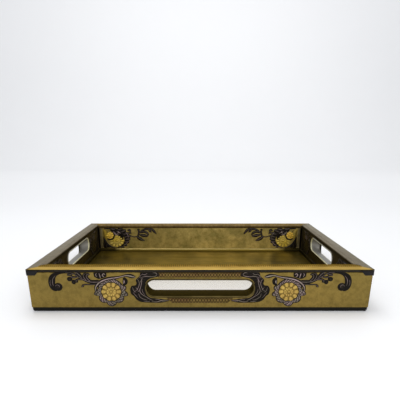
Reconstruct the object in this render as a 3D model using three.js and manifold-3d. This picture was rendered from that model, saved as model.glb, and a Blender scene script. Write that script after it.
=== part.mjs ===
// Serving tray: a leaning wooden box core on a black base board, dressed in thin brass sheet,
// with a hand hole in the front wall and in each end wall. Millimetres, +Z up, -Y the front.
// The origin is the centre of the footprint, on the surface that the tray stands on.
import * as THREE from 'three';
import { mergeVertices } from 'three/addons/utils/BufferGeometryUtils.js';
import Module from 'manifold-3d';

// Overall size over the rim, and the play between neighbouring pieces
const LENGTH = 450;
const WIDTH = 300;
const HEIGHT = 60;
const GAP = 0.3;
const MITRE_GAP = 0.2;

// Each wall moves outwards by this much for every millimetre of height
const LEAN = 0.057;

// Depths into the wall, measured from the rim's outer edge at rim height
const SHEET = 0.6;
const OUTER_SHEET_DEPTH = 0.9;
const CORE_DEPTH = OUTER_SHEET_DEPTH + SHEET + GAP;
const CORE_THICK = 15.6;
const INNER_SHEET_DEPTH = CORE_DEPTH + CORE_THICK + GAP;
const INNER_FACE_DEPTH = INNER_SHEET_DEPTH + SHEET;

// Thickness of the base and the floor, and heights in the wall
const BASE_THICK = 5.8;
const BASE_EDGE_RADIUS = 3.2;
const BASE_CORNER_RADIUS = 3.5;
const FLOOR_THICK = 0.8;
const WALL_BOTTOM = BASE_THICK + GAP;
const REED_RISE = 1;
const CAP_TOP = HEIGHT - REED_RISE;
const CAP_THICK = 1.6;
const CAP_BOTTOM = CAP_TOP - CAP_THICK;
const WALL_TOP = CAP_BOTTOM - GAP;
const SHADOW_LINE = 2;
const OUTER_SHEET_TOP = CAP_BOTTOM - SHADOW_LINE;

// Rim cap, and the reeded strip that stands up along its inner edge
const CAP_BAND = 11.5;
const CAP_INNER_EDGE = 18.6;
const CAP_EDGE_ROUND = 0.5;
const REED_RECESS = 0.9;
const REED_LEG_THICK = 0.7;
const REED_LEG_BOTTOM = 53.4;
const REED_ROUND = 0.5;

// Hand holes: the clear opening inside each sleeve, and how steeply it rises towards the inside.
// Those in the ends stand a little behind the middle of their walls.
const GRIP_HEIGHT = 22;
const GRIP_CENTRE = 32.4;
const FRONT_GRIP = 140;
const END_GRIP = 110;
const END_GRIP_SET_BACK = 8;
const FRONT_GRIP_SLOPE = 0.12;
const END_GRIP_SLOPE = 0.36;
const LINER_THICK = 0.7;
const FLANGE_WIDTH = 1.6;
const FLANGE_THICK = 0.5;

// Black caps on the outer corners, and the strips in the inner corners
const CORNER_CAP_THICK = 0.5;
const CORNER_CAP_BOTTOM = 50.4;
const CORNER_CAP_LEG_LOW = 11;
const CORNER_CAP_LEG_HIGH = 17;
const INNER_STRIP_LEG = 8;
const INNER_STRIP_THICK = 0.8;

// Bead between the walls and the floor
const BEAD_HEIGHT = 6;
const BEAD_DEPTH = 2.4;
const BEAD_LIP = 0.6;
const BEAD_STEPS = 5;

// Splines across the mitres of the core
const SPLINE_WIDTH = 12;
const SPLINE_THICK = 3;
const SPLINE_BOTTOM = 14;
const SPLINE_TOP = 46;

// Countersunk screws up through the base into the walls
const SCREW_HEAD_RADIUS = 3.6;
const SCREW_HEAD_HEIGHT = 2.2;
const SCREW_SHANK_RADIUS = 1.75;
const SCREW_HEAD_FACE = 0.4;
const SCREW_TIP = 20;
const SCREW_POINT = 3;
const SCREW_SIDES = 12;
const LONG_WALL_SCREWS = [-185, -92, 92, 185];
const END_WALL_SCREWS = [-84, 84];

const ARC_STEPS = 6;
const BEVEL_STEPS = 3;
const PAST = 10;

const finish = {
  patinaBrass: new THREE.MeshStandardMaterial({ color: 0x8a7a38, roughness: 0.45, metalness: 1 }),
  floorBrass: new THREE.MeshStandardMaterial({ color: 0x94803a, roughness: 0.35, metalness: 1 }),
  brightBrass: new THREE.MeshStandardMaterial({ color: 0xcdb26a, roughness: 0.3, metalness: 1 }),
  blackPaint: new THREE.MeshStandardMaterial({ color: 0x1c1a18, roughness: 0.5, metalness: 0 }),
  coreWood: new THREE.MeshStandardMaterial({ color: 0x2a2118, roughness: 0.8, metalness: 0 }),
  hardwood: new THREE.MeshStandardMaterial({ color: 0x8a6a44, roughness: 0.7, metalness: 0 }),
  steel: new THREE.MeshStandardMaterial({ color: 0x8c8c8a, roughness: 0.4, metalness: 1 }),
};

// The four walls. reach runs from the tray's centre to the rim's outer edge, and half is half
// the wall's length there. Each wall is drawn as the front one and turned about the centre.
const frontGrip = { middle: 0, length: FRONT_GRIP, slope: FRONT_GRIP_SLOPE };
const rightGrip = { middle: END_GRIP_SET_BACK, length: END_GRIP, slope: END_GRIP_SLOPE };
const leftGrip = { middle: -END_GRIP_SET_BACK, length: END_GRIP, slope: END_GRIP_SLOPE };
const sides = [
  { name: 'front', turn: 0, reach: WIDTH / 2, half: LENGTH / 2, grip: frontGrip, screws: LONG_WALL_SCREWS },
  { name: 'right', turn: 1, reach: LENGTH / 2, half: WIDTH / 2, grip: rightGrip, screws: END_WALL_SCREWS },
  { name: 'back', turn: 2, reach: WIDTH / 2, half: LENGTH / 2, grip: null, screws: LONG_WALL_SCREWS },
  { name: 'left', turn: 3, reach: LENGTH / 2, half: WIDTH / 2, grip: leftGrip, screws: END_WALL_SCREWS },
];

// The four corners, each drawn as the front left one and turned in quarter turns.
const corners = [
  { name: 'front_left', turn: 0, x: -LENGTH / 2, y: -WIDTH / 2 },
  { name: 'front_right', turn: 1, x: LENGTH / 2, y: -WIDTH / 2 },
  { name: 'back_right', turn: 2, x: LENGTH / 2, y: WIDTH / 2 },
  { name: 'back_left', turn: 3, x: -LENGTH / 2, y: WIDTH / 2 },
];

const wasm = await Module();
wasm.setup();

function toSolid(geometry) {
  const bare = geometry.clone();
  bare.deleteAttribute('normal');
  bare.deleteAttribute('uv');
  const merged = mergeVertices(bare, 1e-4);
  return new wasm.Manifold(new wasm.Mesh({
    numProp: 3,
    vertProperties: new Float32Array(merged.attributes.position.array),
    triVerts: new Uint32Array(merged.index.array),
  }));
}

function toGeometry(solid) {
  const mesh = solid.getMesh();
  const geometry = new THREE.BufferGeometry();
  geometry.setAttribute('position', new THREE.BufferAttribute(new Float32Array(mesh.vertProperties), 3));
  geometry.setIndex(new THREE.BufferAttribute(new Uint32Array(mesh.triVerts), 1));
  geometry.computeVertexNormals();
  return geometry;
}

function subtractAll(geometry, cutters) {
  let solid = toSolid(geometry);
  for (const cutter of cutters) {
    solid = solid.subtract(toSolid(cutter));
  }
  return toGeometry(solid);
}

// Depth below the rim's outer edge of a leaning face, at height z.
function faceAt(depth, z) {
  return depth + (HEIGHT - z) * LEAN;
}

// Cross-section of a slab that leans with the wall, as (depth, height) points.
function leaningSlab(depthOut, depthIn, low, high) {
  return [
    [faceAt(depthOut, low), low],
    [faceAt(depthIn, low), low],
    [faceAt(depthIn, high), high],
    [faceAt(depthOut, high), high],
  ];
}

// A straight bar along X with a (depth, height) section, cut to 45 degree mitres at both ends.
function mitredBar(section, side) {
  const outline = new THREE.Shape(section.map(([depth, height]) => new THREE.Vector2(depth, height)));
  const bar = new THREE.ExtrudeGeometry(outline, { depth: 1, bevelEnabled: false });
  const points = bar.attributes.position;
  for (let i = 0; i < points.count; i += 1) {
    const depth = points.getX(i);
    const height = points.getY(i);
    const end = points.getZ(i) > 0.5 ? 1 : -1;
    points.setXYZ(i, end * (side.half - depth - MITRE_GAP), depth - side.reach, height);
  }
  bar.computeVertexNormals();
  return bar;
}

// A stadium outline, and a bar of it that passes right through a wall and rises inwards.
function gripOutline(grip, growth) {
  const radius = GRIP_HEIGHT / 2 + growth;
  const straight = (grip.length - GRIP_HEIGHT) / 2;
  const outline = new THREE.Shape();
  outline.absarc(grip.middle + straight, GRIP_CENTRE, radius, -Math.PI / 2, Math.PI / 2, false);
  outline.absarc(grip.middle - straight, GRIP_CENTRE, radius, Math.PI / 2, Math.PI * 1.5, false);
  return outline;
}

function gripBar(side, growth) {
  const depth = INNER_FACE_DEPTH + 2 * PAST;
  const options = { depth, bevelEnabled: false, curveSegments: ARC_STEPS };
  const bar = new THREE.ExtrudeGeometry(gripOutline(side.grip, growth), options);
  bar.rotateX(Math.PI / 2).translate(0, depth - PAST, 0);
  const points = bar.attributes.position;
  for (let i = 0; i < points.count; i += 1) {
    points.setZ(i, points.getZ(i) + points.getY(i) * side.grip.slope);
  }
  return bar.translate(0, -side.reach, 0);
}

// A block across the mitre, drawn in the front left corner and leaning with it.
function splineBlock(growth) {
  const height = SPLINE_TOP - SPLINE_BOTTOM + 2 * growth;
  const block = new THREE.BoxGeometry(SPLINE_WIDTH + 2 * growth, SPLINE_THICK + 2 * growth, height);
  block.rotateZ(-Math.PI / 4);
  block.translate(0, 0, (SPLINE_TOP + SPLINE_BOTTOM) / 2);
  const points = block.attributes.position;
  for (let i = 0; i < points.count; i += 1) {
    const middle = faceAt(CORE_DEPTH + CORE_THICK / 2, points.getZ(i));
    points.setX(i, points.getX(i) + middle);
    points.setY(i, points.getY(i) + middle);
  }
  return block;
}

function splinePockets(side) {
  const leftPocket = splineBlock(GAP).translate(-side.half, -side.reach, 0);
  const rightPocket = splineBlock(GAP).rotateZ(Math.PI / 2).translate(side.half, -side.reach, 0);
  return [leftPocket, rightPocket];
}

// Screws stand upright in the middle of the core's lower part.
function screwPlace(side, along) {
  const middle = faceAt(CORE_DEPTH + CORE_THICK / 2, (WALL_BOTTOM + SCREW_TIP) / 2);
  return [along, middle - side.reach, 0];
}

function turnedProfile(points) {
  const profile = points.map(([radius, height]) => new THREE.Vector2(radius, height));
  return new THREE.LatheGeometry(profile, SCREW_SIDES).rotateX(Math.PI / 2);
}

function screw() {
  return turnedProfile([
    [0, SCREW_HEAD_FACE],
    [SCREW_HEAD_RADIUS, SCREW_HEAD_FACE],
    [SCREW_SHANK_RADIUS, SCREW_HEAD_FACE + SCREW_HEAD_HEIGHT],
    [SCREW_SHANK_RADIUS, SCREW_TIP - SCREW_POINT],
    [0, SCREW_TIP],
  ]);
}

function screwHole() {
  return turnedProfile([
    [0, -PAST],
    [SCREW_HEAD_RADIUS + GAP, -PAST],
    [SCREW_HEAD_RADIUS + GAP, SCREW_HEAD_FACE],
    [SCREW_SHANK_RADIUS + GAP, SCREW_HEAD_FACE + SCREW_HEAD_HEIGHT],
    [SCREW_SHANK_RADIUS + GAP, SCREW_TIP + GAP],
    [0, SCREW_TIP + GAP],
  ]);
}

function wallCore(side) {
  const section = leaningSlab(CORE_DEPTH, CORE_DEPTH + CORE_THICK, WALL_BOTTOM, WALL_TOP);
  const cutters = splinePockets(side);
  for (const along of side.screws) {
    cutters.push(screwHole().translate(...screwPlace(side, along)));
  }
  if (side.grip) {
    cutters.push(gripBar(side, LINER_THICK + GAP));
  }
  return subtractAll(mitredBar(section, side), cutters);
}

function sheet(side, depth, top) {
  const slab = mitredBar(leaningSlab(depth, depth + SHEET, WALL_BOTTOM, top), side);
  if (!side.grip) {
    return slab;
  }
  return subtractAll(slab, [gripBar(side, LINER_THICK + GAP)]);
}

// A sleeve through the wall with its lips turned over on both faces.
function gripLiner(side) {
  const outFace = OUTER_SHEET_DEPTH - GAP;
  const inFace = INNER_FACE_DEPTH + GAP;
  const slab = (from, to) => toSolid(mitredBar(leaningSlab(from, to, WALL_BOTTOM, WALL_TOP), side));
  const throughWall = slab(outFace - FLANGE_THICK, inFace + FLANGE_THICK);
  const sleeve = toSolid(gripBar(side, LINER_THICK)).intersect(throughWall);
  const lipOutline = toSolid(gripBar(side, LINER_THICK + FLANGE_WIDTH));
  const outerLip = lipOutline.intersect(slab(outFace - FLANGE_THICK, outFace));
  const innerLip = lipOutline.intersect(slab(inFace, inFace + FLANGE_THICK));
  return toGeometry(sleeve.add(outerLip).add(innerLip).subtract(toSolid(gripBar(side, 0))));
}

// A flat bar with a rounded outer edge and a step down for the reeded strip.
function rimCap(side) {
  const step = CAP_TOP - REED_RECESS;
  return mitredBar([
    [CAP_EDGE_ROUND, CAP_BOTTOM],
    [CAP_INNER_EDGE, CAP_BOTTOM],
    [CAP_INNER_EDGE, step],
    [CAP_BAND, step],
    [CAP_BAND, CAP_TOP],
    [CAP_EDGE_ROUND, CAP_TOP],
    [0, CAP_TOP - CAP_EDGE_ROUND],
    [0, CAP_BOTTOM + CAP_EDGE_ROUND],
  ], side);
}

// An angle strip: one leg lies in the cap's step and the other hangs down the inner face.
function rimReed(side) {
  const low = CAP_TOP - REED_RECESS + GAP;
  const back = CAP_INNER_EDGE + GAP;
  const drop = (HEIGHT - REED_LEG_BOTTOM) * LEAN;
  return mitredBar([
    [CAP_BAND + GAP, low],
    [back, low],
    [back + drop, REED_LEG_BOTTOM],
    [back + drop + REED_LEG_THICK, REED_LEG_BOTTOM],
    [back + REED_LEG_THICK, HEIGHT - REED_ROUND],
    [back + REED_LEG_THICK - REED_ROUND, HEIGHT],
    [CAP_BAND + GAP + REED_ROUND, HEIGHT],
    [CAP_BAND + GAP, HEIGHT - REED_ROUND],
  ], side);
}

// Depth of the bead's toe, where it meets the floor sheet.
function beadToe() {
  return faceAt(INNER_FACE_DEPTH + GAP + BEAD_LIP, WALL_BOTTOM) + BEAD_DEPTH;
}

// A quarter-round bead on the base board, between the inner sheet and the floor sheet.
function floorBead(side) {
  const section = [[faceAt(INNER_FACE_DEPTH + GAP, WALL_BOTTOM), WALL_BOTTOM]];
  for (let i = 0; i <= BEAD_STEPS; i += 1) {
    const angle = (i / BEAD_STEPS) * Math.PI / 2;
    const height = WALL_BOTTOM + BEAD_HEIGHT * Math.sin(angle);
    const crest = faceAt(INNER_FACE_DEPTH + GAP + BEAD_LIP, height);
    section.push([crest + BEAD_DEPTH * Math.cos(angle), height]);
  }
  const top = WALL_BOTTOM + BEAD_HEIGHT;
  section.push([faceAt(INNER_FACE_DEPTH + GAP, top), top]);
  return mitredBar(section, side);
}

// An L-shaped strip that leans with the corner. Its legs can be longer at the top.
function angleStrip({ depth, thick, low, high, legLow, legHigh }) {
  const plan = [[0, 0], [legLow, 0], [legLow, thick], [thick, thick], [thick, legLow], [0, legLow]];
  const outline = new THREE.Shape(plan.map(([x, y]) => new THREE.Vector2(x, y)));
  const strip = new THREE.ExtrudeGeometry(outline, { depth: high - low, bevelEnabled: false });
  strip.translate(0, 0, low);
  const points = strip.attributes.position;
  for (let i = 0; i < points.count; i += 1) {
    const z = points.getZ(i);
    const leg = z > (low + high) / 2 ? legHigh : legLow;
    const place = (value) => faceAt(depth, z) + (value > thick ? leg : value);
    points.setXYZ(i, place(points.getX(i)), place(points.getY(i)), z);
  }
  strip.computeVertexNormals();
  return strip;
}

function cornerCap() {
  return angleStrip({
    depth: OUTER_SHEET_DEPTH - GAP - CORNER_CAP_THICK,
    thick: CORNER_CAP_THICK,
    low: CORNER_CAP_BOTTOM,
    high: WALL_TOP,
    legLow: CORNER_CAP_LEG_LOW,
    legHigh: CORNER_CAP_LEG_HIGH,
  });
}

function innerCornerStrip() {
  return angleStrip({
    depth: INNER_FACE_DEPTH + GAP,
    thick: INNER_STRIP_THICK,
    low: WALL_BOTTOM + BEAD_HEIGHT + GAP,
    high: REED_LEG_BOTTOM - GAP,
    legLow: INNER_STRIP_LEG,
    legHigh: INNER_STRIP_LEG,
  });
}

function roundedRectangle(halfX, halfY, radius) {
  const outline = new THREE.Shape();
  outline.absarc(halfX - radius, -halfY + radius, radius, -Math.PI / 2, 0, false);
  outline.absarc(halfX - radius, halfY - radius, radius, 0, Math.PI / 2, false);
  outline.absarc(-halfX + radius, halfY - radius, radius, Math.PI / 2, Math.PI, false);
  outline.absarc(-halfX + radius, -halfY + radius, radius, Math.PI, Math.PI * 1.5, false);
  return outline;
}

// The board under everything: rounded corners, a rounded lower edge and countersunk holes.
function baseBoard() {
  const inset = faceAt(OUTER_SHEET_DEPTH, BASE_THICK);
  const outline = roundedRectangle(LENGTH / 2 - inset, WIDTH / 2 - inset, BASE_CORNER_RADIUS);
  const slab = new THREE.ExtrudeGeometry(outline, {
    depth: BASE_THICK,
    bevelThickness: BASE_EDGE_RADIUS,
    bevelSize: BASE_EDGE_RADIUS,
    bevelOffset: -BASE_EDGE_RADIUS,
    bevelSegments: BEVEL_STEPS,
    curveSegments: BEVEL_STEPS,
  });
  slab.translate(0, 0, BASE_EDGE_RADIUS);
  const waste = new THREE.BoxGeometry(LENGTH, WIDTH, HEIGHT).translate(0, 0, BASE_THICK + HEIGHT / 2);
  const cutters = [waste];
  for (const side of sides) {
    for (const along of side.screws) {
      const hole = screwHole().translate(...screwPlace(side, along));
      cutters.push(hole.rotateZ(side.turn * Math.PI / 2));
    }
  }
  return subtractAll(slab, cutters);
}

function floorSheet() {
  const inset = beadToe() + GAP;
  const plate = new THREE.BoxGeometry(LENGTH - 2 * inset, WIDTH - 2 * inset, FLOOR_THICK);
  return plate.translate(0, 0, WALL_BOTTOM + FLOOR_THICK / 2);
}

function addPart(group, name, geometry, material) {
  const mesh = new THREE.Mesh(geometry, material);
  mesh.name = name;
  group.add(mesh);
  return mesh;
}

function buildWall(side) {
  const wall = new THREE.Group();
  wall.rotation.z = side.turn * Math.PI / 2;
  addPart(wall, `${side.name}_wall_core`, wallCore(side), finish.coreWood);
  const outerSheet = sheet(side, OUTER_SHEET_DEPTH, OUTER_SHEET_TOP);
  addPart(wall, `${side.name}_outer_sheet`, outerSheet, finish.patinaBrass);
  const innerSheet = sheet(side, INNER_SHEET_DEPTH, WALL_TOP);
  addPart(wall, `${side.name}_inner_sheet`, innerSheet, finish.patinaBrass);
  addPart(wall, `${side.name}_rim_cap`, rimCap(side), finish.brightBrass);
  addPart(wall, `${side.name}_rim_reed`, rimReed(side), finish.patinaBrass);
  addPart(wall, `${side.name}_floor_bead`, floorBead(side), finish.brightBrass);
  if (side.grip) {
    addPart(wall, `${side.name}_grip_liner`, gripLiner(side), finish.brightBrass);
  }
  side.screws.forEach((along, index) => {
    const fixing = addPart(wall, `${side.name}_base_screw_${index + 1}`, screw(), finish.steel);
    fixing.position.set(...screwPlace(side, along));
  });
  return wall;
}

function buildCorner(corner) {
  const group = new THREE.Group();
  group.position.set(corner.x, corner.y, 0);
  group.rotation.z = corner.turn * Math.PI / 2;
  addPart(group, `${corner.name}_corner_cap`, cornerCap(), finish.blackPaint);
  addPart(group, `${corner.name}_inner_strip`, innerCornerStrip(), finish.brightBrass);
  addPart(group, `${corner.name}_spline`, splineBlock(0), finish.hardwood);
  return group;
}

const tray = new THREE.Group();
addPart(tray, 'base_board', baseBoard(), finish.blackPaint);
addPart(tray, 'floor_sheet', floorSheet(), finish.floorBrass);
for (const side of sides) {
  tray.add(buildWall(side));
}
for (const corner of corners) {
  tray.add(buildCorner(corner));
}

export default tray;
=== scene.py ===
import math

import bmesh
import bpy
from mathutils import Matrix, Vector


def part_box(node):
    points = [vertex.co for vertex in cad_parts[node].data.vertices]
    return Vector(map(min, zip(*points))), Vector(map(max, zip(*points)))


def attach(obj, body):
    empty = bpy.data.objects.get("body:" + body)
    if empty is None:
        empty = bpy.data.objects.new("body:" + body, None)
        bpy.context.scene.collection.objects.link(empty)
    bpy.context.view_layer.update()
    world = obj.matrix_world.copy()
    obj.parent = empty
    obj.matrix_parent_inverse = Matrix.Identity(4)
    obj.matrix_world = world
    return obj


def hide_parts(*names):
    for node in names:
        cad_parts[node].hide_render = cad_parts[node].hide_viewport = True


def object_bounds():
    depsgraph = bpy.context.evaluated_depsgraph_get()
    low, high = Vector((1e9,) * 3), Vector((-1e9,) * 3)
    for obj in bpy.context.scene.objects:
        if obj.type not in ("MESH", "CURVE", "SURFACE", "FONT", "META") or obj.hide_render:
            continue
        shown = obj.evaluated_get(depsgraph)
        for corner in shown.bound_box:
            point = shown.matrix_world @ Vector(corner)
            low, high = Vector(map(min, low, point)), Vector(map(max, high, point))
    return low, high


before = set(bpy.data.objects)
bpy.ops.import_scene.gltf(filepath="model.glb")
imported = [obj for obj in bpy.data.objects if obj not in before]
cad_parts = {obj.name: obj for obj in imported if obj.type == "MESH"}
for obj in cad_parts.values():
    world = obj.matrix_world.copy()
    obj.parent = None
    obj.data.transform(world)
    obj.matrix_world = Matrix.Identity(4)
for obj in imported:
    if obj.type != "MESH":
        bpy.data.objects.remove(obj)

MM = 0.001
CAD_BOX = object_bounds()
HALF_LENGTH = CAD_BOX[1].x / MM
HALF_WIDTH = CAD_BOX[1].y / MM
RIM = CAD_BOX[1].z / MM


def box_mm(node):
    low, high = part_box(node)
    return low / MM, high / MM


# What the frame says about the walls: their lean, and depths measured from the rim's outer edge
SHEET = 0.6
OUTER_LOW, OUTER_HIGH = box_mm("front_outer_sheet")
INNER_LOW, INNER_HIGH = box_mm("front_inner_sheet")
LEAN = (OUTER_HIGH.y - OUTER_LOW.y - SHEET) / (OUTER_HIGH.z - OUTER_LOW.z)
OUTER_FACE = OUTER_LOW.y + HALF_WIDTH - (RIM - OUTER_HIGH.z) * LEAN
INNER_FACE = INNER_HIGH.y + HALF_WIDTH - (RIM - INNER_LOW.z) * LEAN
CAP_LOW, CAP_HIGH = box_mm("front_rim_cap")
CAP_TOP = CAP_HIGH.z
MITRE_GAP = HALF_LENGTH + CAP_LOW.x
GAP = 0.3

# How finely the ornament is made
SMOOTH_ANGLE = math.radians(38)
RIBBON_STEP = 0.9
RIBBON_CROSS = 12
SINK = -0.15
MASS_STATIONS = 72


def face_at(depth, height):
    """Depth of a leaning face at some height."""
    return depth + (RIM - height) * LEAN


def turned(x, y, quarters):
    for _ in range(quarters):
        x, y = -y, x
    return x, y


class Wall:
    """One of the four walls, drawn as the front one and turned about the tray's centre."""

    def __init__(self, name, quarter_turns):
        lengthways = quarter_turns % 2 == 0
        self.name = name
        self.turns = quarter_turns
        self.reach = HALF_WIDTH if lengthways else HALF_LENGTH
        self.half = HALF_LENGTH if lengthways else HALF_WIDTH
        self.long = lengthways
        self.grip = Grip(name, lengthways) if f"{name}_grip_liner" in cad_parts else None

    def point(self, along, depth, height):
        return Vector((*turned(along, depth - self.reach, self.turns), height))

    def outer_point(self, right, up, lift):
        """A point on the outer sheet, seen from outside: to the right, up, and proud of it."""
        return self.point(right, face_at(OUTER_FACE, up) - lift, up)

    def inner_point(self, right, up, lift):
        """The same on the inner sheet, seen from inside the tray."""
        return self.point(-right, face_at(INNER_FACE, up) + lift, up)


class Grip:
    """A hand hole's clear opening, read from its liner. It rises towards the inside of the tray."""

    LIP = 2.3
    LIP_PROUD = 0.8
    RADIUS = 11.0

    def __init__(self, name, lengthways):
        low, high = box_mm(f"{name}_grip_liner")
        start, end = (low.x, high.x) if lengthways else (low.y, high.y)
        self.straight = (end - start) / 2 - self.LIP - self.RADIUS
        self.along = (start + end) / 2 * (-1 if name == "left" else 1)
        self.middle = (high.z + low.z) / 2
        self.middle_depth = face_at((OUTER_FACE + INNER_FACE) / 2, self.middle)
        rise = high.z - low.z - 2 * (self.RADIUS + self.LIP)
        self.slope = rise / (INNER_FACE - OUTER_FACE + 2 * self.LIP_PROUD)

    def height_at(self, depth):
        """Height of the opening's centre line at some depth into the wall."""
        return self.middle + (depth - self.middle_depth) * self.slope


WALLS = [Wall(name, turns) for turns, name in enumerate(("front", "right", "back", "left"))]


# ---------------------------------------------------------------- meshes


def link_new(name, mesh):
    piece = bpy.data.objects.new(name, mesh)
    bpy.context.scene.collection.objects.link(piece)
    return piece


def new_mesh(name, points, faces, unit=MM):
    mesh = bpy.data.meshes.new(name)
    mesh.from_pydata([Vector(point) * unit for point in points], [], faces)
    return mesh


def clean_mesh(mesh, bevel=0.0):
    """Merges doubled points, turns the faces outwards and, if asked, rounds the sharp edges."""
    work = bmesh.new()
    work.from_mesh(mesh)
    bmesh.ops.remove_doubles(work, verts=work.verts, dist=1e-7)
    bmesh.ops.dissolve_degenerate(work, edges=work.edges, dist=1e-7)
    bmesh.ops.recalc_face_normals(work, faces=work.faces)
    if bevel:
        sharp = [edge for edge in work.edges if edge.calc_face_angle(0) > SMOOTH_ANGLE]
        bmesh.ops.bevel(work, geom=sharp, offset=bevel * MM, segments=2, profile=0.5, affect="EDGES")
    work.to_mesh(mesh)
    work.free()
    mesh.shade_smooth()
    mesh.set_sharp_from_angle(angle=SMOOTH_ANGLE)


def new_piece(name, points, faces, material, slot, replaces=(), shades=None, bevel=0.0):
    """Makes a closed piece from points in millimetres and gives it its body and finish. The slot is not used.
    """
    mesh = new_mesh(name, points, faces)
    if shades:
        mesh.attributes.new("shade", "FLOAT", "POINT").data.foreach_set("value", shades)
    clean_mesh(mesh, bevel)
    mesh.materials.append(material)
    piece = link_new(name, mesh)
    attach(piece, "root")
    if replaces:
        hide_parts(*replaces)
    return piece


def joined(solids):
    """The points and faces of several solids as one."""
    points, faces = [], []
    for more, their_faces in solids:
        faces += [tuple(len(points) + index for index in face) for face in their_faces]
        points += more
    return points, faces


def loft(loops, ring=False):
    """Faces that join loops of points, each loop closed. A ring also joins the last to the first."""
    size = len(loops[0])
    points = [point for loop in loops for point in loop]
    faces = []
    for i in range(len(loops) if ring else len(loops) - 1):
        here, there = i * size, (i + 1) % len(loops) * size
        for j in range(size):
            k = (j + 1) % size
            faces.append((here + j, here + k, there + k, there + j))
    if not ring:
        faces.append(tuple(reversed(range(size))))
        faces.append(tuple(range(len(points) - size, len(points))))
    return points, faces


def mitred_bar(name, wall, section, material, slot, replaces):
    """A bar along a wall with a section of (depth, height) points and mitred ends."""
    reach = wall.half - MITRE_GAP
    loops = [[wall.point(end * (reach - depth), depth, height) for depth, height in section] for end in (-1, 1)]
    new_piece(name, *loft(loops), material, slot, replaces)


class Relief:
    """Gathers raised ornament as (right, up, lift) points, each with a shade from 0 to 1."""

    def __init__(self):
        self.solids = []

    def add(self, points, faces):
        self.solids.append((points, faces))

    def build(self, name, place, material, slot, mirror=False):
        sign = -1 if mirror else 1
        points, faces = joined(self.solids)
        new_piece(name, [place(sign * right, up, lift) for right, up, lift, _ in points], faces, material, slot,
                  shades=[shade for *_, shade in points])


def smooth_curve(knots, step):
    """Points about a step apart on a smooth curve through the knots, which are (right, up, width)."""
    padded = [knots[0], *knots, knots[-1]]
    curve = []
    for p0, p1, p2, p3 in zip(padded, padded[1:], padded[2:], padded[3:]):
        count = max(2, round(math.dist(p1[:2], p2[:2]) / step))
        for i in range(count):
            t = i / count
            curve.append(tuple(
                0.5 * (2 * b + (c - a) * t + (2 * a - 5 * b + 4 * c - d) * t ** 2
                       + (3 * b - a - 3 * c + d) * t ** 3)
                for a, b, c, d in zip(p0, p1, p2, p3)))
    curve.append(knots[-1])
    return curve


def ribbon(relief, knots, height, groove=0.0, light=1.0):
    """A raised scroll or stem along a curve, domed across, with an optional groove along its crest."""
    curve = smooth_curve(knots, RIBBON_STEP)
    widest = max(point[2] for point in curve)
    loops = []
    for i, (right, up, width) in enumerate(curve):
        before, after = curve[max(i - 1, 0)], curve[min(i + 1, len(curve) - 1)]
        along = Vector((after[0] - before[0], after[1] - before[1])).normalized()
        swell = height * (0.55 + 0.45 * width / widest)
        loop = []
        for k in range(RIBBON_CROSS + 1):
            angle = math.pi * k / RIBBON_CROSS
            offset = -math.cos(angle) * width / 2
            dome = math.sin(angle)
            dip = groove * max(0.0, dome - 0.85) / 0.15
            crest = max(0.0, dome - 0.7) / 0.3
            loop.append((right - along.y * offset, up + along.x * offset,
                         swell * (dome ** 0.6 - dip), light * crest * (1 - min(1.0, 3 * dip))))
        first, last = loop[0], loop[-1]
        loops.append([(*first[:2], SINK, 0.0), *loop, (*last[:2], SINK, 0.0)])
    relief.add(*loft(loops))


def even_points(knots, count):
    """Points spread evenly along a smooth curve through (right, up) knots."""
    curve = smooth_curve([(right, up, 0.0) for right, up in knots], 0.4)
    walked = [0.0]
    for here, there in zip(curve, curve[1:]):
        walked.append(walked[-1] + math.dist(here[:2], there[:2]))
    points, place = [], 0
    for i in range(count):
        target = walked[-1] * i / (count - 1)
        while place < len(walked) - 2 and walked[place + 1] < target:
            place += 1
        t = (target - walked[place]) / (walked[place + 1] - walked[place])
        points.append(tuple(a + (b - a) * t for a, b in zip(curve[place][:2], curve[place + 1][:2])))
    return points


def dotted_line(relief, knots, count, radius, height):
    """A row of small round bosses along a curve."""
    for centre in even_points(knots, count):
        dome(relief, centre, (radius, radius), height, steps=10)


def moved(knots, shift):
    """The same (right, up, ...) knots, further to the right."""
    return [(right + shift, *rest) for right, *rest in knots]


def quilt(relief, edges, rows, surface):
    """A raised sheet between pairs of points. surface(pair number, across from 0 to 1) is (lift, shade)."""
    loops = []
    for i, (a, b) in enumerate(edges):
        loop = [(*a, SINK, 0.0)]
        for k in range(rows + 1):
            across = k / rows
            loop.append((*(p + (q - p) * across for p, q in zip(a, b)), *surface(i, across)))
        loops.append([*loop, (*b, SINK, 0.0)])
    relief.add(*loft(loops))


def mass(relief, outer, inner, height, ripples, light=0.5):
    """A raised leafy mass between two curves: crowned, and rippled like overlapping leaves."""
    def surface(i, across):
        crown = math.sin(math.pi * across) ** 0.4
        ripple = abs(math.sin(math.pi * (i / MASS_STATIONS * ripples + 1.5 * across)))
        return height * crown * (0.7 + 0.3 * ripple), light * crown * max(0.0, 2 * ripple - 1)

    edges = zip(even_points(outer, MASS_STATIONS), even_points(inner, MASS_STATIONS))
    quilt(relief, edges, 2 * RIBBON_CROSS, surface)


def outline(turning_points):
    """A radius by angle, eased between (degrees, radius) points that go once round."""
    ring = [*turning_points, (turning_points[0][0] + 360, turning_points[0][1])]

    def radius(angle):
        degrees = (math.degrees(angle) - ring[0][0]) % 360 + ring[0][0]
        for (a, first), (b, second) in zip(ring, ring[1:]):
            if a <= degrees <= b:
                t = (degrees - a) / (b - a)
                ease = math.sin(t * math.pi / 2) if second > first else 1 - math.cos(t * math.pi / 2)
                return first + (second - first) * ease
        return ring[0][1]

    return radius


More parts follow.
